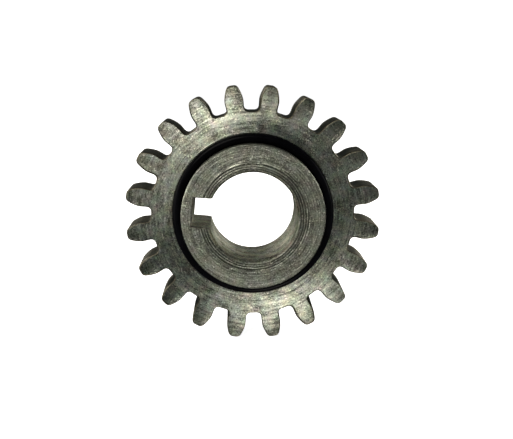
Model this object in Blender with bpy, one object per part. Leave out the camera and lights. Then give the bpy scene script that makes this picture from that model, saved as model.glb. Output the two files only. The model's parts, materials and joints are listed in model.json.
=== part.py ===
"""A straight-toothed steel gear: a toothed ring on a keyed hub, with a rubber ring round the boss.

The gear's axis lies along Y and its front, where the hub stands proud as a boss, faces -Y.
The origin is on the axis, halfway along the hub.  The gear stands on two teeth, so a tooth
space is straight up and another straight down.  Driving sizes are in millimetres.
"""

import math

import bmesh
import bpy
from mathutils import Matrix, Vector

MM = 0.001

# Toothed ring: full-depth involute teeth
MODULE = 2.0
TEETH = 20
PRESSURE_ANGLE = math.radians(14.5)
FACE_WIDTH = 9.0
TIP_CORNER = 0.5
ROOT_FILLET = 0.9

# Hub
HUB_LENGTH = 15.0
HUB_RADIUS = 12.2
BOSS_HEIGHT = 4.5
BOSS_CHAMFER = 0.35
SHOULDER_RADIUS = 14.2
SHOULDER_CHAMFER = 0.4

# Bore and keyway
BORE_RADIUS = 7.55
DISH_RADIUS = 9.1  # a shallow turned dish leads from here in to the bore's broken edge
DISH_DEPTH = 0.3
EDGE_RADIUS = 7.9
EDGE_DEPTH = 0.9
REAR_CHAMFER = 0.5
KEY_WIDTH = 5.0
KEY_DEPTH = 2.75
KEY_RISE = math.radians(5.4)  # how far the keyway's centre line lies above -X

# Rubber ring, seated in a shallow recess round the foot of the boss
RING_SECTION = 1.6
RING_STAND = 0.3  # its centre line, in front of the toothed ring's front face

# Clearances between separate pieces
PRESS_GAP = 0.05
SEAT_GAP = 0.04

# Facets
ROUND_STEPS = 96
RING_SECTION_STEPS = 16
FLANK_STEPS = 5
CORNER_STEPS = 3
SMOOTH_BELOW = math.radians(25)

PITCH_RADIUS = MODULE * TEETH / 2
TIP_RADIUS = PITCH_RADIUS + MODULE
ROOT_RADIUS = PITCH_RADIUS - 1.25 * MODULE
BASE_RADIUS = PITCH_RADIUS * math.cos(PRESSURE_ANGLE)
TOOTH_PITCH = 2 * math.pi / TEETH

HUB_FRONT = -HUB_LENGTH / 2
HUB_REAR = HUB_LENGTH / 2
RIM_FRONT = HUB_FRONT + BOSS_HEIGHT
RIM_REAR = RIM_FRONT + FACE_WIDTH

RING_TUBE = RING_SECTION / 2
RING_CENTRE_RADIUS = HUB_RADIUS + PRESS_GAP + RING_TUBE
RING_CENTRE_Y = RIM_FRONT - RING_STAND
RECESS_RADIUS = RING_CENTRE_RADIUS + RING_TUBE + SEAT_GAP
RECESS_FLOOR = RING_CENTRE_Y + RING_TUBE + SEAT_GAP

OVERRUN = 1.0  # how far a cutter runs past the faces it cuts


def clear_scene():
    for existing in list(bpy.data.objects):
        bpy.data.objects.remove(existing)


def material(name, colour, roughness, metallic):
    made = bpy.data.materials.new(name)
    made.use_nodes = True
    shader = made.node_tree.nodes["Principled BSDF"]
    shader.inputs["Base Color"].default_value = (*colour, 1.0)
    shader.inputs["Roughness"].default_value = roughness
    shader.inputs["Metallic"].default_value = metallic
    return made


def add_object(name, mesh_data, finish=None):
    """Put a bmesh in the scene as a named object, round stretches shaded smooth."""
    bmesh.ops.recalc_face_normals(mesh_data, faces=mesh_data.faces)
    mesh = bpy.data.meshes.new(name)
    mesh_data.to_mesh(mesh)
    mesh_data.free()
    mesh.shade_smooth()
    mesh.set_sharp_from_angle(angle=SMOOTH_BELOW)
    made = bpy.data.objects.new(name, mesh)
    bpy.context.collection.objects.link(made)
    if finish:
        mesh.materials.append(finish)
    return made


def turned(name, profile, finish=None, closed=True):
    """Spin a profile of (radius, y) points round the Y axis; an open profile ends on the axis."""
    mesh_data = bmesh.new()
    points = [mesh_data.verts.new((radius * MM, y * MM, 0.0)) for radius, y in profile]
    edges = [mesh_data.edges.new(pair) for pair in zip(points, points[1:])]
    if closed:
        edges.append(mesh_data.edges.new((points[-1], points[0])))
    bmesh.ops.spin(
        mesh_data, geom=points + edges, cent=(0, 0, 0), axis=(0, 1, 0),
        angle=2 * math.pi, steps=ROUND_STEPS, use_merge=True,
    )
    bmesh.ops.remove_doubles(mesh_data, verts=mesh_data.verts, dist=1e-7)
    return add_object(name, mesh_data, finish)


def cut(target, cutter):
    """Take a cutter's shape out of a piece; the cutter stays as a hidden guide."""
    cutter.hide_render = True
    cutter.display_type = "WIRE"
    boolean = target.modifiers.new(cutter.name, "BOOLEAN")
    boolean.operation = "DIFFERENCE"
    boolean.solver = "EXACT"
    boolean.object = cutter


def involute(angle):
    return math.tan(angle) - angle


def flank_angle(radius):
    """Angle from a tooth's centre line to its flank; below the base circle the flank is radial."""
    contact = math.acos(min(1.0, BASE_RADIUS / radius))
    return TOOTH_PITCH / 4 + involute(PRESSURE_ANGLE) - involute(contact)


def polar(angle, radius):
    """A point at an angle clockwise from straight up, seen from the front, as (x, z)."""
    return Vector((radius * math.sin(angle), radius * math.cos(angle)))


def rounded_corner(start, corner, end):
    """Points of a short curve from start to end that leans towards the corner between them."""
    shares = [step / CORNER_STEPS for step in range(CORNER_STEPS + 1)]
    return [(1 - t) ** 2 * start + 2 * t * (1 - t) * corner + t ** 2 * end for t in shares]


def half_tooth():
    """Outline from the root circle up one flank to the tip land, the tooth pointing up."""
    foot = ROOT_RADIUS + ROOT_FILLET
    crown = TIP_RADIUS - TIP_CORNER
    root_angle = flank_angle(ROOT_RADIUS)
    tip_angle = flank_angle(TIP_RADIUS)
    fillet = rounded_corner(
        polar(root_angle + ROOT_FILLET / ROOT_RADIUS, ROOT_RADIUS),
        polar(root_angle, ROOT_RADIUS),
        polar(flank_angle(foot), foot),
    )
    radii = [foot + (crown - foot) * step / FLANK_STEPS for step in range(1, FLANK_STEPS)]
    flank = [polar(flank_angle(radius), radius) for radius in radii]
    tip = rounded_corner(
        polar(flank_angle(crown), crown),
        polar(tip_angle, TIP_RADIUS),
        polar(tip_angle - TIP_CORNER / TIP_RADIUS, TIP_RADIUS),
    )
    return fillet + flank + tip


def gear_outline():
    """All the teeth's outline, clockwise seen from the front, with a tooth space straight up."""
    right = half_tooth()
    left = [Vector((-point.x, point.y)) for point in right]
    tooth = left + right[::-1]
    outline = []
    for number in range(TEETH):
        turn = Matrix.Rotation(-(number + 0.5) * TOOTH_PITCH, 2)
        outline += [turn @ point for point in tooth]
    return outline


def toothed_ring(finish):
    """The teeth's outline drawn out to the face width, bored for the hub and recessed in front."""
    mesh_data = bmesh.new()
    corners = [mesh_data.verts.new((x * MM, RIM_FRONT * MM, z * MM)) for x, z in gear_outline()]
    front = mesh_data.faces.new(corners)
    grown = bmesh.ops.extrude_face_region(mesh_data, geom=[front])["geom"]
    moved = [item for item in grown if isinstance(item, bmesh.types.BMVert)]
    bmesh.ops.translate(mesh_data, verts=moved, vec=(0, FACE_WIDTH * MM, 0))
    ring = add_object("toothed_ring", mesh_data, finish)

    seat_radius = HUB_RADIUS + PRESS_GAP
    seat_cutter = turned(
        "hub_seat_cutter",
        [
            (0.0, RIM_FRONT - OVERRUN),
            (RECESS_RADIUS, RIM_FRONT - OVERRUN),
            (RECESS_RADIUS, RECESS_FLOOR),
            (seat_radius, RECESS_FLOOR),
            (seat_radius, RIM_REAR + OVERRUN),
            (0.0, RIM_REAR + OVERRUN),
        ],
        closed=False,
    )
    cut(ring, seat_cutter)
    return ring


def keyed_hub(finish):
    """The turned hub: front boss, rear shoulder against the toothed ring, bore and keyway."""
    shoulder_front = RIM_REAR + PRESS_GAP
    hub = turned(
        "keyed_hub",
        [
            (EDGE_RADIUS, HUB_FRONT + DISH_DEPTH),
            (DISH_RADIUS, HUB_FRONT),
            (HUB_RADIUS - BOSS_CHAMFER, HUB_FRONT),
            (HUB_RADIUS, HUB_FRONT + BOSS_CHAMFER),
            (HUB_RADIUS, shoulder_front),
            (SHOULDER_RADIUS, shoulder_front),
            (SHOULDER_RADIUS, HUB_REAR - SHOULDER_CHAMFER),
            (SHOULDER_RADIUS - SHOULDER_CHAMFER, HUB_REAR),
            (BORE_RADIUS + REAR_CHAMFER, HUB_REAR),
            (BORE_RADIUS, HUB_REAR - REAR_CHAMFER),
            (BORE_RADIUS, HUB_FRONT + EDGE_DEPTH),
        ],
        finish,
    )

    reach = BORE_RADIUS + KEY_DEPTH
    key_block = bmesh.new()
    size = Matrix.Diagonal((reach * MM, (HUB_LENGTH + 2 * OVERRUN) * MM, KEY_WIDTH * MM, 1))
    place = Matrix.Rotation(KEY_RISE, 4, "Y") @ Matrix.Translation((-reach / 2 * MM, 0, 0))
    bmesh.ops.create_cube(key_block, size=1.0, matrix=place @ size)
    cut(hub, add_object("keyway_cutter", key_block))
    return hub


def o_ring(finish):
    """The rubber ring, round in section, lying in the recess against the boss."""
    section = [
        (
            RING_CENTRE_RADIUS + RING_TUBE * math.cos(2 * math.pi * step / RING_SECTION_STEPS),
            RING_CENTRE_Y + RING_TUBE * math.sin(2 * math.pi * step / RING_SECTION_STEPS),
        )
        for step in range(RING_SECTION_STEPS)
    ]
    return turned("o_ring", section, finish)


def build():
    clear_scene()
    toothed_ring(material("ring_steel", (0.36, 0.36, 0.32), 0.42, 1.0))
    keyed_hub(material("hub_steel", (0.40, 0.40, 0.36), 0.34, 1.0))
    o_ring(material("black_rubber", (0.012, 0.012, 0.016), 0.45, 0.0))


build()
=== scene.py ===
"""Looks of the keyed spur gear: detailed meshes, steel and rubber materials, studio and camera."""

import json
import math

import bmesh
import bpy
import numpy as np
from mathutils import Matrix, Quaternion, Vector


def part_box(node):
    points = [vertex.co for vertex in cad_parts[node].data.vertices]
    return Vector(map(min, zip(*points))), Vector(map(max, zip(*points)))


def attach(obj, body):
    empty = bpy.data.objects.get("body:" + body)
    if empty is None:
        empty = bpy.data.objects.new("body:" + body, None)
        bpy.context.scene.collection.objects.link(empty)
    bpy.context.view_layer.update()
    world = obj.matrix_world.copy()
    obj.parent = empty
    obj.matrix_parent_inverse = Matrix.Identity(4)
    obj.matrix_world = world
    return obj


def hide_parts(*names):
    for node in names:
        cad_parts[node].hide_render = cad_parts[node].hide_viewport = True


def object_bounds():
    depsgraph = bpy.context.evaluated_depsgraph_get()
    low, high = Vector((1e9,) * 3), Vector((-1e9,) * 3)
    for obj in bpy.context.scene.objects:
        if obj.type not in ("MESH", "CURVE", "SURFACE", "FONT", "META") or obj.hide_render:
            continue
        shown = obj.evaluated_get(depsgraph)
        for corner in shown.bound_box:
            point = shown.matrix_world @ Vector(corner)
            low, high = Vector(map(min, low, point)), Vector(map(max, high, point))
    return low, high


MM = 0.001

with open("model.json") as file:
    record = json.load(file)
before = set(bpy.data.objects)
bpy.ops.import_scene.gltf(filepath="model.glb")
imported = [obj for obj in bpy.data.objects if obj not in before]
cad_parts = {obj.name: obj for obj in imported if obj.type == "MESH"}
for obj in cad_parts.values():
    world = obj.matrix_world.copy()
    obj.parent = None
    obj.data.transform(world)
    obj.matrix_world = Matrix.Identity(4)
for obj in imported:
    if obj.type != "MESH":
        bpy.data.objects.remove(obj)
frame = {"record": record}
cad_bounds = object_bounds()

# ---------------------------------------------------------------- sizes, in millimetres

# Teeth
MODULE = 2.0
TEETH = 20
PRESSURE_ANGLE = math.radians(14.5)
TIP_CORNER = 0.55
ROOT_FILLET = 0.9
PITCH_RADIUS = MODULE * TEETH / 2
TIP_RADIUS = PITCH_RADIUS + MODULE
ROOT_RADIUS = PITCH_RADIUS - 1.25 * MODULE
BASE_RADIUS = PITCH_RADIUS * math.cos(PRESSURE_ANGLE)
TOOTH_PITCH = 2 * math.pi / TEETH


def box_mm(node):
    low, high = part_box(node)
    return low / MM, high / MM


rim_low, rim_high = box_mm("toothed_ring")
hub_low, hub_high = box_mm("keyed_hub")
seal_low, seal_high = box_mm("o_ring")
bore_mount = next(m for m in frame["record"]["mounts"] if m["name"] == "shaft_bore")

# Places that follow the frame's pieces
RIM_FRONT, RIM_REAR = rim_low.y, rim_high.y
HUB_FRONT, HUB_REAR = hub_low.y, hub_high.y
SHOULDER_RADIUS = hub_high.x
SEAL_TUBE = (seal_high.y - seal_low.y) / 2
SEAL_CENTRE_Y = (seal_high.y + seal_low.y) / 2
SEAL_CENTRE_RADIUS = seal_high.x - SEAL_TUBE
BORE_RADIUS = bore_mount["dims"]["r_mm"]

# Clearances between separate pieces
PRESS_GAP = 0.05
SEAT_GAP = 0.04

# Toothed ring's broken edges and the recess for the rubber ring
EDGE_ROUND = 0.2
EDGE_VARIES = 0.35  # share of its size
RECESS_RADIUS = SEAL_CENTRE_RADIUS + SEAL_TUBE + SEAT_GAP
RECESS_FLOOR = SEAL_CENTRE_Y + SEAL_TUBE + SEAT_GAP
SEAT_CHAMFER = 0.12
FACE_LOOPS = (15.5, 17.0)  # radii that divide the flat faces between the recess and the teeth

# Hub's outside
HUB_RADIUS = SEAL_CENTRE_RADIUS - SEAL_TUBE - PRESS_GAP
BOSS_CHAMFER = 0.16
SHOULDER_CHAMFER = 0.4
SHOULDER_FRONT = RIM_REAR + PRESS_GAP

# Hub's front: hollow from its rim inwards, with a burr and a step at the dish and turned grooves in it
HOLLOW_DEPTH = 0.2
DISH_RADIUS = 9.1
DISH_STEP = 0.08
BURR_HEIGHT = 0.08
BURR_WIDTH = 0.12
GROOVES = 6
GROOVE_PITCH = 0.36
GROOVE_DEPTH = 0.03
GROOVE_WIDTH = 0.07
GROOVE_STRAYS = 0.03
HEIGHT_VARIES = 0.5  # share of the burr's height and of a groove's depth

# Bore, its broken front edge, and the keyway
EDGE_RADIUS = 7.9
EDGE_DEPTH = 0.9
EDGE_CURVE = 1.6  # above 1, the broken edge steepens towards the bore
EDGE_STRAYS = 0.06
REAR_CHAMFER = 0.5
KEY_HALF_WIDTH = 2.5
KEY_REACH = BORE_RADIUS + 2.75
KEY_RISE = math.radians(5.4)  # how far the keyway's centre line lies above -X
KEY_EDGE = 0.13
BACK_LOOP = KEY_REACH + 1.0  # a radius that divides the hub's rear face

MOULD_FLASH = 0.02  # height of the rubber ring's flash line

# Steps round the rubber ring and its section, and over half the keyway's floor, its wall and half
# the bore
RING_STEPS = 360
SECTION_STEPS = 48
FLOOR_STEPS, WALL_STEPS, BORE_STEPS = 12, 14, 160

MERGE_WITHIN = 1e-7  # metres
SMOOTH_BELOW = math.radians(32)

# Finish numbers: the order of a piece's materials
FACE, CUT, SIDE = 0, 1, 2


# ---------------------------------------------------------------- mesh helpers

def skin(name, stations, finishes, bands):
    """Join stations, rings of points from front round to back again, into one closed surface.

    bands gives, for each station, the finish number of the faces between it and the next.
    """
    count = len(stations[0])
    points = np.concatenate(stations) * MM
    following = np.roll(np.arange(count), -1)
    faces = []
    slots = []
    for number, band in enumerate(bands):
        here = number * count
        there = (number + 1) % len(stations) * count
        for first, second in zip(range(count), following):
            faces.append((here + first, here + second, there + second, there + first))
            slots.append(band)
    mesh = bpy.data.meshes.new(name)
    mesh.from_pydata(points.tolist(), [], faces)
    mesh.polygons.foreach_set("material_index", slots)
    for finish in finishes:
        mesh.materials.append(finish)

    merged = bmesh.new()
    merged.from_mesh(mesh)
    bmesh.ops.remove_doubles(merged, verts=merged.verts, dist=MERGE_WITHIN)
    bmesh.ops.recalc_face_normals(merged, faces=merged.faces)
    merged.to_mesh(mesh)
    merged.free()
    mesh.shade_smooth()
    mesh.set_sharp_from_angle(angle=SMOOTH_BELOW)
    piece = bpy.data.objects.new(name, mesh)
    bpy.context.scene.collection.objects.link(piece)
    return piece


def circle(angles, radius, y):
    """A ring of points at these angles clockwise from straight up, seen from the front."""
    return np.stack([radius * np.sin(angles), np.full(len(angles), y), radius * np.cos(angles)], 1)


def wander(angles, seed, waves=(3, 5, 8, 13, 21, 34, 55)):
    """A smooth random curve round the axis, about -1 to 1, that closes on itself."""
    rng = np.random.default_rng(seed)
    total = np.zeros(len(angles))
    for wave in waves:
        total += rng.normal() * np.sin(wave * angles + rng.uniform(0, 2 * math.pi))
    return total / math.sqrt(len(waves))


# ---------------------------------------------------------------- toothed ring

def involute(angle):
    return math.tan(angle) - angle


def flank_angle(radius):
    """Angle from a tooth's centre line to its flank; below the base circle the flank is radial."""
    contact = math.acos(min(1.0, BASE_RADIUS / radius))
    return TOOTH_PITCH / 4 + involute(PRESSURE_ANGLE) - involute(contact)


def polar(angle, radius):
    return np.array([radius * math.sin(angle), radius * math.cos(angle)])


def rounded_corner(start, corner, end, steps=8):
    shares = np.linspace(0, 1, steps + 1)
    return [(1 - t) ** 2 * start + 2 * t * (1 - t) * corner + t ** 2 * end for t in shares]


def half_tooth():
    """Outline from the middle of a tooth space up one flank to the middle of the tip."""
    foot = ROOT_RADIUS + ROOT_FILLET
    crown = TIP_RADIUS - TIP_CORNER
    fillet_start = flank_angle(ROOT_RADIUS) + ROOT_FILLET / ROOT_RADIUS
    land_end = flank_angle(TIP_RADIUS) - TIP_CORNER / TIP_RADIUS
    space = [polar(angle, ROOT_RADIUS) for angle in np.linspace(TOOTH_PITCH / 2, fillet_start, 4)]
    fillet = rounded_corner(
        space[-1], polar(flank_angle(ROOT_RADIUS), ROOT_RADIUS), polar(flank_angle(foot), foot)
    )
    flank = [polar(flank_angle(radius), radius) for radius in np.linspace(foot, crown, 14)]
    tip = rounded_corner(
        flank[-1], polar(flank_angle(TIP_RADIUS), TIP_RADIUS), polar(land_end, TIP_RADIUS)
    )
    land = [polar(angle, TIP_RADIUS) for angle in np.linspace(land_end, 0, 4)]
    return np.array(space[:-1] + fillet[:-1] + flank + tip[1:] + land[1:])


def gear_outline():
    """Every tooth's outline as (x, z) points, clockwise from straight up, seen from the front."""
    right = half_tooth()
    left = right[::-1][1:-1] * (-1, 1)
    tooth = np.concatenate([left[::-1], right[::-1]])[:-1]
    outline = []
    for number in range(TEETH):
        turn = (number + 0.5) * TOOTH_PITCH
        spin = np.array([[math.cos(turn), -math.sin(turn)], [math.sin(turn), math.cos(turn)]])
        outline.append(tooth @ spin)
    return np.concatenate(outline)


def inward_normals(outline):
    along = np.roll(outline, -1, axis=0) - np.roll(outline, 1, axis=0)
    normals = np.stack([along[:, 1], -along[:, 0]], axis=1)
    normals /= np.linalg.norm(normals, axis=1)[:, None]
    outwards = np.sign((normals * outline).sum())
    return -outwards * normals


def toothed_ring(face_finish, cut_finish):
    """The toothed ring: recessed seat in front, unevenly broken edges round the teeth."""
    outline = gear_outline()
    normals = inward_normals(outline)
    angles = np.arctan2(outline[:, 0], outline[:, 1])
    edge = EDGE_ROUND * (1 + EDGE_VARIES * wander(angles, seed=4))

    def teeth(inset, y):
        moved = outline + normals * np.broadcast_to(inset, len(outline))[:, None]
        return np.stack([moved[:, 0], np.broadcast_to(y, len(outline)), moved[:, 1]], 1)

    bends = [math.radians(bend) for bend in (0, 30, 60, 90)]
    front_edge = [
        teeth(edge * (1 - math.sin(bend)), RIM_FRONT + edge * (1 - math.cos(bend))) for bend in bends
    ]
    rear_edge = [
        teeth(edge * (1 - math.cos(bend)), RIM_REAR - edge * (1 - math.sin(bend))) for bend in bends
    ]
    seat = HUB_RADIUS + PRESS_GAP
    profile = [
        (seat, RECESS_FLOOR),
        (RECESS_RADIUS - SEAT_CHAMFER, RECESS_FLOOR),
        (RECESS_RADIUS, RECESS_FLOOR - SEAT_CHAMFER),
        (RECESS_RADIUS, RIM_FRONT + SEAT_CHAMFER / 2),
        (RECESS_RADIUS + SEAT_CHAMFER / 2, RIM_FRONT),
    ]
    profile += [(radius, RIM_FRONT) for radius in FACE_LOOPS]
    front = [circle(angles, radius, y) for radius, y in profile]
    width = [teeth(0, RIM_FRONT + share * (RIM_REAR - RIM_FRONT)) for share in (0.25, 0.5, 0.75)]
    rear = [circle(angles, radius, RIM_REAR) for radius in FACE_LOOPS[::-1] + (seat + SEAT_CHAMFER,)]
    rear.append(circle(angles, seat, RIM_REAR - SEAT_CHAMFER))
    stations = front + front_edge + width + rear_edge + rear
    # the front broken edges round the teeth take the flank steel as well: a dark outline of painted
    # shade
    cut_from = len(front)
    cut_to = len(front) + len(front_edge) + len(width) + 1
    bands = [CUT if cut_from <= number < cut_to else FACE for number in range(len(stations))]
    return skin("toothed_ring_turned", stations, [face_finish, cut_finish], bands)


# ---------------------------------------------------------------- keyed hub

def slot_radius(angle, grow=0.0):
    """Distance from the axis to the keyway's wall, in a direction this far off its centre line."""
    if abs(angle) >= math.pi / 2:
        return 0.0
    side = (KEY_HALF_WIDTH + grow) / max(abs(math.sin(angle)), 1e-9)
    return min(side, (KEY_REACH + grow) / math.cos(angle))


def hub_angles():
    """Directions round the axis, measured from the keyway's centre line, closest at its walls."""
    floor_corner = math.atan2(KEY_HALF_WIDTH, KEY_REACH)
    mouth = math.asin(KEY_HALF_WIDTH / BORE_RADIUS)
    half = np.concatenate([
        np.linspace(0, floor_corner, FLOOR_STEPS, endpoint=False),
        np.linspace(floor_corner, mouth, WALL_STEPS, endpoint=False),
        np.linspace(mouth, math.pi, BORE_STEPS, endpoint=False),
    ])
    return np.concatenate([half, [math.pi], -half[:0:-1]])


def bell(distance, width):
    return np.exp(-(distance / width) ** 2)


def front_depth(radius, angles):
    """How far the hub's front lies behind its rim.

    It is slightly hollow.  A burr and a step mark the edge of the dish, which has turned grooves
    and falls away at the bore's broken edge.
    """
    hollow = HOLLOW_DEPTH * np.clip((HUB_RADIUS - radius) / (HUB_RADIUS - EDGE_RADIUS), 0, 1)
    step = DISH_STEP * np.clip((DISH_RADIUS - radius) / DISH_STEP, 0, 1)
    uneven_edge = EDGE_RADIUS + EDGE_STRAYS * wander(angles, seed=95)
    broken = np.clip((uneven_edge - radius) / (EDGE_RADIUS - BORE_RADIUS), 0, 1) ** EDGE_CURVE
    burr_height = BURR_HEIGHT * (1 + HEIGHT_VARIES * wander(angles, seed=90))
    burr = burr_height * bell(radius - DISH_RADIUS - BURR_WIDTH, BURR_WIDTH)
    depth = hollow + step + (EDGE_DEPTH - HOLLOW_DEPTH - DISH_STEP) * broken - burr
    for number in range(GROOVES):
        centre = EDGE_RADIUS + (number + 0.5) * GROOVE_PITCH
        centre = centre + GROOVE_STRAYS * wander(angles, seed=50 + number)
        strength = (1 - number / GROOVES) * (1 + HEIGHT_VARIES * wander(angles, seed=70 + number))
        depth = depth + GROOVE_DEPTH * strength * bell(radius - centre, GROOVE_WIDTH)
    return depth


def keyed_hub(face_finish, bore_finish, side_finish):
    """The hub: turned front, bore and keyway through it, shoulder behind, plain outside."""
    angles = hub_angles()
    slot = np.array([slot_radius(angle) for angle in angles])
    mouth = np.array([slot_radius(angle, KEY_EDGE) for angle in angles])
    direction = KEY_RISE - angles
    across, upwards = -np.cos(direction), np.sin(direction)

    def ring(radius, y):
        radius = np.broadcast_to(radius, len(angles))
        return np.stack([radius * across, np.broadcast_to(y, len(angles)), radius * upwards], 1)

    def front(radius):
        radius = np.maximum(radius, mouth)
        return ring(radius, HUB_FRONT + front_depth(radius, angles))

    def rear_end(radius):
        return HUB_REAR - np.clip(BORE_RADIUS + REAR_CHAMFER - radius, 0, None)

    def rear(radius):
        radius = np.maximum(radius, slot)
        return ring(radius, rear_end(radius))

    wall = np.maximum(BORE_RADIUS, slot)
    wall_front = HUB_FRONT + front_depth(wall, angles) + np.where(slot > BORE_RADIUS, KEY_EDGE, 0)
    wall_rear = rear_end(wall)

    grooved = EDGE_RADIUS + GROOVES * GROOVE_PITCH + GROOVE_WIDTH
    face = [front(radius) for radius in np.linspace(HUB_RADIUS - BOSS_CHAMFER, grooved, 4)]
    dish_steps = np.arange(grooved, EDGE_RADIUS, -GROOVE_WIDTH / 2)[1:]
    edge_steps = np.linspace(EDGE_RADIUS, BORE_RADIUS, 7)[1:]
    chamfer = [front(radius) for radius in np.concatenate([dish_steps, edge_steps])]
    shares = (0, 0.2, 0.4, 0.6, 0.8)
    bore = [ring(wall, wall_front + share * (wall_rear - wall_front)) for share in shares]
    back = [
        rear(BORE_RADIUS),
        rear(BORE_RADIUS + REAR_CHAMFER),
        rear(BACK_LOOP),
        ring(SHOULDER_RADIUS - SHOULDER_CHAMFER, HUB_REAR),
    ]
    outside = [
        ring(SHOULDER_RADIUS, HUB_REAR - SHOULDER_CHAMFER),
        ring(SHOULDER_RADIUS, SHOULDER_FRONT),
        ring(HUB_RADIUS, SHOULDER_FRONT),
        ring(HUB_RADIUS, RIM_FRONT),
        ring(HUB_RADIUS, HUB_FRONT + BOSS_CHAMFER),
    ]
    stations = face + chamfer + bore + back + outside
    wall_from = len(face) + len(dish_steps) - 1
    wall_to = wall_from + len(edge_steps) + len(bore) + 1
    bands = [CUT if wall_from <= number < wall_to else FACE for number in range(len(stations))]
    bands[-3] = bands[-2] = SIDE  # from the shoulder along the outside to the boss's front edge, in the darker side steel: painted shade
    return skin("keyed_hub_turned", stations, [face_finish, bore_finish, side_finish], bands)


# ---------------------------------------------------------------- rubber ring

def rubber_ring(finish):
    """A moulded ring of round section, with the hair-thin flash line that the mould leaves."""
    angles = np.linspace(0, 2 * math.pi, RING_STEPS, endpoint=False)
    stations = []
    for turn in np.linspace(0, 2 * math.pi, SECTION_STEPS, endpoint=False):
        on_line = abs(math.sin(turn)) < 0.01
        tube = SEAL_TUBE + (MOULD_FLASH if on_line else 0.0)
        radius = SEAL_CENTRE_RADIUS + tube * math.cos(turn)
        stations.append(circle(angles, radius, SEAL_CENTRE_Y + tube * math.sin(turn)))
    return skin("rubber_ring", stations, [finish], [FACE] * len(stations))


# ---------------------------------------------------------------- materials

OILED_TINT = (0.965, 1.0, 0.84)
BORE_TINT = (1.0, 1.0, 0.80)
PAINTED_GLINT_SPREAD = 0.22  # in noise levels, from a painted glint's first trace to its full strength

# Noise scales, per metre
GRAIN_SCALE = 4000.0
FILM_SCALE = 400.0
FILM_TINT_SCALE = 600.0
SPECK_TINT_SCALE = 3400.0
WOBBLE_SCALE = 160.0
LIP_HIGHLIGHT_SCALE = 260.0

# Tool marks as (pitch across them, run along them), in millimetres
SHORT_MARKS = (0.34, 2.4)
LONG_MARKS = (0.40, 9.0)
PAINTED_GLINT_MARKS = (0.30, 1.2)

# The regular lines turned in the hub's front, the painted highlight on the dish's lip and the zones,
# in millimetres
LINE_PITCH = 0.4
LINE_WOBBLE = 5.0  # radians
LIP_HIGHLIGHT_RISE = (0.04, 0.12)  # how far outside the dish the painted highlight on its lip starts and is full
LIP_HIGHLIGHT_FALL = (0.22, 0.30)  # and where it fades and ends
LIP_HIGHLIGHT_HEIGHTS = (1.0, 9.0)  # above the axis: where it starts and is brightest
ZONE_WAVER = 0.8


def grey(value, tint):
    return tuple(value * t for t in tint) + (1.0,)


class Shader:
    """A material's node tree, built by short calls that pass output sockets on."""

    def __init__(self, name):
        self.material = bpy.data.materials.new(name)
        self.material.use_nodes = True
        self.tree = self.material.node_tree
        self.principled = self.tree.nodes["Principled BSDF"]
        self.place = self.node("ShaderNodeTexCoord").outputs["Object"]

    def node(self, kind, settings=None, **inputs):
        """Add a node.  Its inputs are given by name, or by number as _0, _1 and so on."""
        made = self.tree.nodes.new(kind)
        for key, value in (settings or {}).items():
            setattr(made, key, value)
        for key, value in inputs.items():
            socket = made.inputs[int(key[1:])] if key[0] == "_" else made.inputs[key]
            self.give(socket, value)
        return made

    def give(self, socket, value):
        if isinstance(value, bpy.types.NodeSocket):
            self.tree.links.new(value, socket)
        else:
            socket.default_value = value

    def math(self, operation, first, second=0.0):
        return self.node("ShaderNodeMath", {"operation": operation}, _0=first, _1=second).outputs[0]

    def vector(self, operation, first, second=(0.0, 0.0, 0.0)):
        made = self.node("ShaderNodeVectorMath", {"operation": operation}, _0=first, _1=second)
        return made.outputs["Value" if operation == "LENGTH" else "Vector"]

    def noise(self, vector, scale, detail=2.0, roughness=0.5, output="Fac"):
        made = self.node(
            "ShaderNodeTexNoise", Vector=vector, Scale=scale, Detail=detail, Roughness=roughness
        )
        return made.outputs[output]

    def weigh(self, *parts):
        """Add up (noise, weight) parts, each noise taken as centred on zero."""
        total = -0.5 * sum(weight for _, weight in parts)
        for value, weight in parts:
            total = self.math("ADD", self.math("MULTIPLY", value, weight), total)
        return total

    def spread(self, value, low, high, to_low=0.0, to_high=1.0):
        """Stretch a value's range low to high onto to_low to to_high, clamped."""
        made = self.node(
            "ShaderNodeMapRange", None, Value=value,
            **{"From Min": low, "From Max": high, "To Min": to_low, "To Max": to_high},
        )
        return made.outputs[0]

    def mix(self, share, first, second, blend="MIX"):
        made = self.node("ShaderNodeMix", {"data_type": "RGBA", "blend_type": blend})
        self.give(made.inputs["Factor"], share)
        self.give(made.inputs[6], first)
        self.give(made.inputs[7], second)
        return made.outputs[2]

    def shade(self, colour, share):
        """The colour with this share of its brightness."""
        level = self.node("ShaderNodeCombineColor", _0=share, _1=share, _2=share).outputs[0]
        return self.mix(1.0, colour, level, "MULTIPLY")

    def relief(self, height, depth, strength=1.0):
        """A bump normal, its depth in millimetres."""
        made = self.node("ShaderNodeBump", Strength=strength, Distance=depth * MM, Height=height)
        return made.outputs[0]

    def set(self, **inputs):
        for key, value in inputs.items():
            self.give(self.principled.inputs[key.replace("_", " ")], value)


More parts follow.
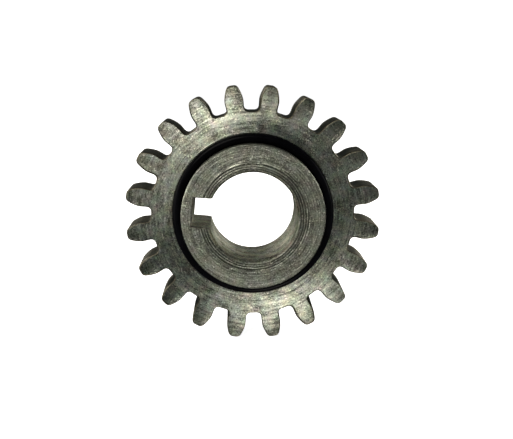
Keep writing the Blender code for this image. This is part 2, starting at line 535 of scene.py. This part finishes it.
class TurnedShader(Shader):
    """A shader with the coordinates that lathe marks follow."""

    def __init__(self, name, seed):
        super().__init__(name)
        self.seed = seed
        split = self.node("ShaderNodeSeparateXYZ", _0=self.place)
        self.x, self.y, self.z = (split.outputs[number] for number in range(3))
        self.flat = self.node("ShaderNodeCombineXYZ", X=self.x, Y=0.0, Z=self.z).outputs[0]
        self.radius = self.vector("LENGTH", self.flat)
        self.path = self.math("ADD", self.radius, self.y)

    def moved(self, x, y, z):
        return self.vector("ADD", self.place, (x, y, z))

    def marks(self, pitch, run, offset):
        """Noise drawn out along circles, on faces and round outsides alike."""
        across = self.math("ADD", self.math("MULTIPLY", self.path, 1000 / pitch), offset)
        along_x = self.math("MULTIPLY", self.x, 1000 / run)
        along_z = self.math("MULTIPLY", self.z, 1000 / run)
        vector = self.node("ShaderNodeCombineXYZ", X=along_x, Y=across, Z=along_z).outputs[0]
        return self.noise(vector, 1.0, 2.0, 0.6)

    def painted_glints(self, scale, start, strength):
        """How much painted glint shows: bright specks of colour standing in for highlights, scattered,
        more of them along tool marks.
        """
        points = self.noise(self.moved(0, 0, self.seed), scale, 1.0, 0.6)
        level = self.weigh((points, 1.0), (self.marks(*PAINTED_GLINT_MARKS, self.seed + 80), 1.0))
        return self.spread(level, start, start + PAINTED_GLINT_SPREAD, 0.0, strength)

    def zone(self, colour, film, inner, outer, share, centre=None):
        """Change the brightness inside the inner radius to a share, easing out to the outer radius."""
        distance = self.radius
        if centre:
            offset = self.vector("SUBTRACT", self.flat, [value * MM for value in centre])
            distance = self.vector("LENGTH", offset)
        waver = self.math("MULTIPLY", self.math("SUBTRACT", film, 0.5), ZONE_WAVER * MM)
        edge = self.math("ADD", distance, waver)
        return self.shade(colour, self.spread(edge, inner * MM, outer * MM, share, 1.0))

    def oil_tints(self, colour, patch):
        """Patches and specks of faint colour, as a thin film of oil has."""
        for scale, strength in ((FILM_TINT_SCALE, patch), (SPECK_TINT_SCALE, 0.03)):
            tint = self.noise(self.moved(0, self.seed, 0), scale, 1.0, 0.6, "Color")
            doubled = self.mix(1.0, tint, (2, 2, 2, 1), "MULTIPLY")
            colour = self.mix(strength, colour, self.mix(1.0, colour, doubled, "MULTIPLY"))
        return colour

    def lines(self, within, unevenness):
        """Regular turned lines inside a radius, fading out beyond it, from about -1 to 1."""
        wobble = self.math("MULTIPLY", self.noise(self.place, WOBBLE_SCALE, 2.0, 0.6), LINE_WOBBLE)
        turns = self.math("MULTIPLY", self.radius, 2000 * math.pi / LINE_PITCH)
        wave = self.math("SINE", self.math("ADD", turns, wobble))
        fade = self.spread(self.radius, (within - 0.3) * MM, (within + 0.6) * MM, 1.0, 0.24)
        height = self.math("MULTIPLY", fade, self.spread(unevenness, 0.25, 0.75, 0.1, 1.6))
        return self.math("MULTIPLY", wave, height)

    def painted_lip_highlight(self):
        """How much of the painted highlight on the dish's lip shows: broken arcs in its upper half."""
        rise = self.spread(self.radius, *((DISH_RADIUS + step) * MM for step in LIP_HIGHLIGHT_RISE))
        fall = self.spread(self.radius, *((DISH_RADIUS + step) * MM for step in LIP_HIGHLIGHT_FALL), 1.0, 0.0)
        upper = self.spread(self.z, *(height * MM for height in LIP_HIGHLIGHT_HEIGHTS), 0.0, 0.7)
        broken = self.spread(self.noise(self.moved(self.seed, 0, 5), LIP_HIGHLIGHT_SCALE, 2.0, 0.6), 0.40, 0.60)
        whole = self.math("MULTIPLY", self.math("MULTIPLY", rise, fall), upper)
        return self.math("MULTIPLY", whole, broken)


def turned_steel(
    name, dark, light, roughness, anisotropy, bump, seed,
    ring_weight=0.8, mottle=1.4, patch=0.22, zones=(), painted_shading=(),
    painted_glint=0.8, painted_glint_scale=3900.0, painted_glint_from=0.10, lines_within=None,
):
    """Lathe-turned steel: granular cut surface, short circular tool marks, blotches of oil film.

    Its colour runs between dark and light.  ring_weight is the weight of the long tool marks in
    that, mottle the weight of the blotches, and patch the strength of the film's tints.  A zone is
    (inner radius, outer radius, share), perhaps with a centre of its own.  Each entry of the painted
    shading is (axis, start, end, share at the start, share at the end) of the brightness, painted
    light and shade along that axis.  The three glint arguments are the strength, noise scale and
    starting level of painted glints, bright specks of colour that stand in for highlights.  Inside
    lines_within there are regular turned lines, and round the dish a painted highlight on its lip.
    Lengths are in millimetres.
    """
    s = TurnedShader(name, seed)
    grain = s.noise(s.place, GRAIN_SCALE, 1.0, 0.6)
    dashes = s.marks(*SHORT_MARKS, seed)
    rings = s.marks(*LONG_MARKS, seed + 40)
    film = s.noise(s.moved(seed, 0, 0), FILM_SCALE, 4.0, 0.7)

    tone = s.weigh((grain, 1.1), (dashes, 0.8), (rings, ring_weight), (film, mottle))
    colour = s.mix(s.spread(tone, -0.30, 0.30), dark, light)
    # painted glints: bright specks of near-white colour that stand in for highlights on the grain
    colour = s.mix(s.painted_glints(painted_glint_scale, painted_glint_from, painted_glint), colour, grey(0.95, OILED_TINT))
    for zone in zones:
        colour = s.zone(colour, film, *zone)
    # painted light and shade: brightness changed along one axis of the piece
    for axis, start, end, share_start, share_end in painted_shading:
        share = s.spread(getattr(s, axis), start * MM, end * MM, share_start, share_end)
        colour = s.shade(colour, share)
    colour = s.oil_tints(colour, patch)

    height = s.weigh((grain, 0.9), (dashes, 0.6), (rings, 1.3 * ring_weight))
    if lines_within:
        lines = s.lines(lines_within, rings)
        height = s.math("ADD", height, s.math("MULTIPLY", lines, 0.2))
        colour = s.shade(colour, s.math("ADD", s.math("MULTIPLY", lines, 0.7), 1.0))
        # painted highlight: the dish's lip made near-white in broken arcs above the axis
        colour = s.mix(s.painted_lip_highlight(), colour, grey(0.9, OILED_TINT))

    gloss = s.weigh((dashes, 0.5), (film, 0.5))
    tangent = s.node("ShaderNodeTangent", {"direction_type": "RADIAL", "axis": "Y"})
    s.set(
        Base_Color=colour,
        Metallic=1.0,
        Roughness=s.spread(gloss, -0.2, 0.2, roughness + 0.07, roughness - 0.07),
        Anisotropic=anisotropy,
        Anisotropic_Rotation=0.25,
        Tangent=tangent.outputs[0],
        Normal=s.relief(height, bump),
    )
    return s.material


def cut_steel(name, dark, light, roughness, bump):
    """Tooth flanks and spaces: cut along the axis, duller than the turned faces, and given a darker
    colour that is painted shade.
    """
    s = Shader(name)
    stretched = s.vector("MULTIPLY", s.place, (1.0, 0.08, 1.0))
    lines = s.noise(stretched, 5200.0, 2.0, 0.6)
    blotch = s.noise(s.place, 330.0, 3.0, 0.6)
    speck = s.noise(s.place, 3000.0, 2.0, 0.7)
    tone = s.math("ADD", s.math("MULTIPLY", lines, 0.8), s.math("MULTIPLY", blotch, 0.5))
    tone = s.math("ADD", tone, s.math("MULTIPLY", speck, 0.5))
    s.set(
        Base_Color=s.mix(s.spread(tone, 0.65, 1.15), dark, light),
        Metallic=1.0,
        Roughness=s.spread(blotch, 0.3, 0.7, roughness - 0.06, roughness + 0.08),
        Normal=s.relief(lines, bump),
    )
    return s.material


def black_rubber(name, dark, light):
    """Moulded rubber: nearly black, a soft sheen, faint bloom and fine pimples."""
    s = Shader(name)
    bloom = s.noise(s.place, 300.0, 3.0, 0.6)
    pimples = s.noise(s.place, 4200.0, 2.0, 0.6)
    s.set(
        Base_Color=s.mix(s.spread(bloom, 0.35, 0.7), dark, light),
        Metallic=0.0,
        Roughness=s.spread(bloom, 0.3, 0.7, 0.24, 0.32),
        Specular_IOR_Level=0.03,
        Normal=s.relief(pimples, 0.01, strength=0.6),
    )
    return s.material


# ---------------------------------------------------------------- studio

FLOOR_GAP = 0.05 * MM
FLOOR_RADIUS = 1.5  # metres
LAMP_COLOUR = (1.0, 0.965, 0.89)
BACKDROP = ((1, 1, 1, 1), 1.05)  # colour and strength, for the camera
SURROUNDINGS = ((0.78, 1.0, 1.02, 1), 0.045)  # the same, for reflections and shade

# Lamps as (name, place, size, power), places and sizes in metres; all face the gear
LAMPS = (
    ("key", (-0.22, -0.42, 0.37), 0.30, 2.6),
    ("table_glow", (0.08, -0.40, -0.38), 0.14, 1.35),
    ("left_glow", (-0.50, -0.30, 0.0), 0.30, 0.6),
    ("right_side", (0.50, 0.04, 0.14), 0.30, 1.25),
    ("left_side", (-0.50, 0.04, 0.14), 0.30, 1.2),
    ("rear_fill", (-0.40, 0.32, 0.26), 0.25, 1.4),
    ("rear_key", (0.42, 0.32, 0.26), 0.25, 2.0),
)


def floor():
    """A wide pale floor under the gear, bright enough to pass for the white backdrop."""
    level = cad_bounds[0].z - FLOOR_GAP
    bpy.ops.mesh.primitive_circle_add(
        vertices=128, radius=FLOOR_RADIUS, fill_type="NGON", location=(0, 0, level)
    )
    made = bpy.context.object
    made.name = "studio_floor"
    s = Shader("pale_floor")
    distance = s.vector("LENGTH", s.place)
    s.set(
        Base_Color=(0.88, 0.88, 0.88, 1),
        Roughness=0.9,
        Specular_IOR_Level=0.0,
        Emission_Color=(1, 1, 1, 1),
        Emission_Strength=s.spread(distance, 0.05, 0.4, 0.97, 1.0),
    )
    made.data.materials.append(s.material)
    made.visible_glossy = False
    made.visible_shadow = False


def area_light(name, place, size, power):
    light = bpy.data.lights.new(name, "AREA")
    light.size = size
    light.energy = power
    light.color = LAMP_COLOUR
    made = bpy.data.objects.new(name, light)
    made.location = place
    made.rotation_euler = (Vector() - Vector(place)).to_track_quat("-Z", "Y").to_euler()
    bpy.context.scene.collection.objects.link(made)


def studio():
    """White backdrop for the camera, dim grey surroundings for reflections, soft lights."""
    world = bpy.data.worlds.new("studio")
    bpy.context.scene.world = world
    world.use_nodes = True
    tree = world.node_tree
    surroundings = tree.nodes["Background"]
    backdrop = tree.nodes.new("ShaderNodeBackground")
    for node, (colour, strength) in ((surroundings, SURROUNDINGS), (backdrop, BACKDROP)):
        node.inputs["Color"].default_value = colour
        node.inputs["Strength"].default_value = strength
    path = tree.nodes.new("ShaderNodeLightPath")
    either = tree.nodes.new("ShaderNodeMixShader")
    tree.links.new(path.outputs["Is Camera Ray"], either.inputs[0])
    tree.links.new(surroundings.outputs[0], either.inputs[1])
    tree.links.new(backdrop.outputs[0], either.inputs[2])
    tree.links.new(either.outputs[0], tree.nodes["World Output"].inputs["Surface"])

    for lamp in LAMPS:
        area_light(*lamp)
    bpy.context.scene.view_settings.view_transform = "Standard"


def camera():
    """A close view from a little above the axis and a hair to its left, very slightly tilted."""
    aim = Vector((0.62, RIM_FRONT, -1.02)) * MM
    distance = 178.8 * MM
    azimuth = math.radians(1.11)
    elevation = math.radians(8.64)
    roll = math.radians(-0.44)
    back = Vector((
        -math.sin(azimuth) * math.cos(elevation),
        -math.cos(azimuth) * math.cos(elevation),
        math.sin(elevation),
    ))
    lens = bpy.data.cameras.new("camera")
    lens.lens = 72.85
    lens.clip_start = 0.01
    made = bpy.data.objects.new("camera", lens)
    made.location = aim + back * distance
    made.rotation_mode = "QUATERNION"
    made.rotation_quaternion = (-back).to_track_quat("-Z", "Y") @ Quaternion((0, 0, 1), roll)
    bpy.context.scene.collection.objects.link(made)
    bpy.context.scene.camera = made


# ---------------------------------------------------------------- the object

face_steel = turned_steel(
    "faced_steel", grey(0.072, OILED_TINT), grey(0.345, OILED_TINT),
    roughness=0.45, anisotropy=0.82, bump=0.06, seed=3.0, patch=0.17, painted_glint=0.4,
    # painted shade on the teeth: the face inside 18.2 mm has twice the brightness of the tips at 21.2
    # mm
    zones=((18.2, 21.2, 2.0),),
    # painted shade: darker towards the lowest teeth, from 14.5 mm to 20.5 mm below the axis
    painted_shading=(("z", -20.5, -14.5, 0.80, 1.0),),
)
hub_steel = turned_steel(
    "turned_hub_steel", grey(0.085, OILED_TINT), grey(0.32, OILED_TINT),
    roughness=0.50, anisotropy=0.06, bump=0.06, seed=17.0,
    ring_weight=1.0, mottle=0.7, patch=0.11, painted_glint=0.6, lines_within=9.4,
    zones=((9.7, 10.3, 0.86, (0.45, 0.0, -0.2)), (8.95, 9.3, 0.62)),
    # painted light and shade: the hub lighter on its left, darker on its right
    painted_shading=(("x", -12.0, 12.0, 1.14, 0.86),),
)
bore_steel = turned_steel(
    "bored_steel", grey(0.05, BORE_TINT), grey(0.52, BORE_TINT),
    roughness=0.60, anisotropy=0.0, bump=0.09, seed=29.0,
    painted_glint=0.5, painted_glint_scale=2600.0, painted_glint_from=0.04,
    # painted shade: the bore darker the deeper it runs, and darker still at its broken front edge and
    # the keyway's edge
    painted_shading=(("y", -6.0, 5.0, 1.3, 0.6), ("y", -6.9, -5.8, 0.4, 1.0)),
)
# painted shade: a darker copy of the hub's turned steel for the boss's outside
shaded_side_steel = turned_steel(
    "turned_side_steel_painted_shade", grey(0.035, OILED_TINT), grey(0.17, OILED_TINT),
    roughness=0.46, anisotropy=0.3, bump=0.05, seed=53.0, mottle=0.8, patch=0.1, painted_glint=0.25,
)
# painted shade: the flanks and tooth spaces take a much darker colour than the faces
shaded_flank_steel = cut_steel(
    "cut_flank_steel_painted_shade", (0.037, 0.034, 0.024, 1), (0.162, 0.153, 0.114, 1), roughness=0.46, bump=0.035
)
rubber = black_rubber(
    "moulded_rubber", dark=(0.0008, 0.0008, 0.0011, 1), light=(0.0016, 0.0016, 0.0024, 1)
)

gear_teeth = toothed_ring(face_steel, shaded_flank_steel)
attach(gear_teeth, "gear")
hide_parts("toothed_ring")

hub = keyed_hub(hub_steel, bore_steel, shaded_side_steel)
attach(hub, "gear")
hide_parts("keyed_hub")

seal = rubber_ring(rubber)
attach(seal, "seal")
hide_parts("o_ring")

floor()
studio()
camera()
